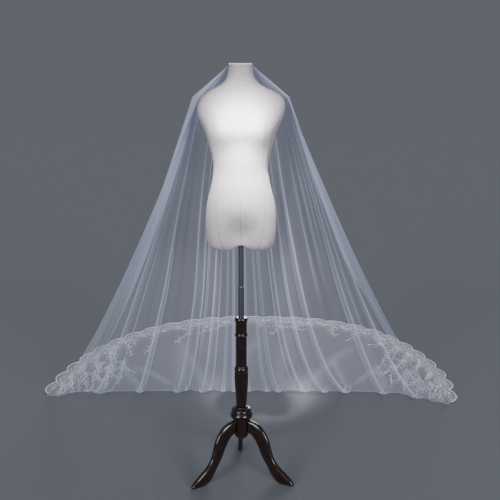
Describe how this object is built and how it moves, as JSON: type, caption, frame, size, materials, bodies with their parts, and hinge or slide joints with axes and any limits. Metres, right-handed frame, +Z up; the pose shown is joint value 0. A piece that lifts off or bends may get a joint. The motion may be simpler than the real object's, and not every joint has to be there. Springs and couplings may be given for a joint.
{
  "type": "bridal veil on a dress form with a tripod stand",
  "caption": "Long single-layer tulle veil with a scalloped lace border, gathered at the neck of a linen dress form on a turned tripod and spread behind as a floor train.",
  "frame": {"origin": "middle of the whole object's footprint, on the floor", "axes": "+Z up; the dress form faces -Y and the train runs back along +Y; X runs across, the form's own left at +X"},
  "size_m": [2.3884, 2.4328, 1.7473],
  "materials": {
    "tulle": "sheer soft white net",
    "lace": "corded white lace with small sequins",
    "satin_binding": "white satin",
    "linen": "off-white plain-woven linen",
    "steel": "polished tube",
    "mahogany": "dark red-brown gloss stain"
  },
  "bodies": {
    "root": {"veil_head_binding": "satin_binding", "veil_left_edge": "tulle", "veil_left_side": "tulle", "veil_back_left": "tulle", "veil_back_right": "tulle", "veil_right_side": "tulle", "veil_right_edge": "tulle", "veil_train": "tulle", "lace_left": "lace", "lace_back": "lace", "lace_right": "lace", "dress_form": "linen", "rod_upper": "steel", "rod_lower": "steel", "stand_spindle": "mahogany", "stand_hub": "mahogany", "leg_rear": "mahogany", "leg_left": "mahogany", "leg_right": "mahogany"}
  },
  "joints": []
}
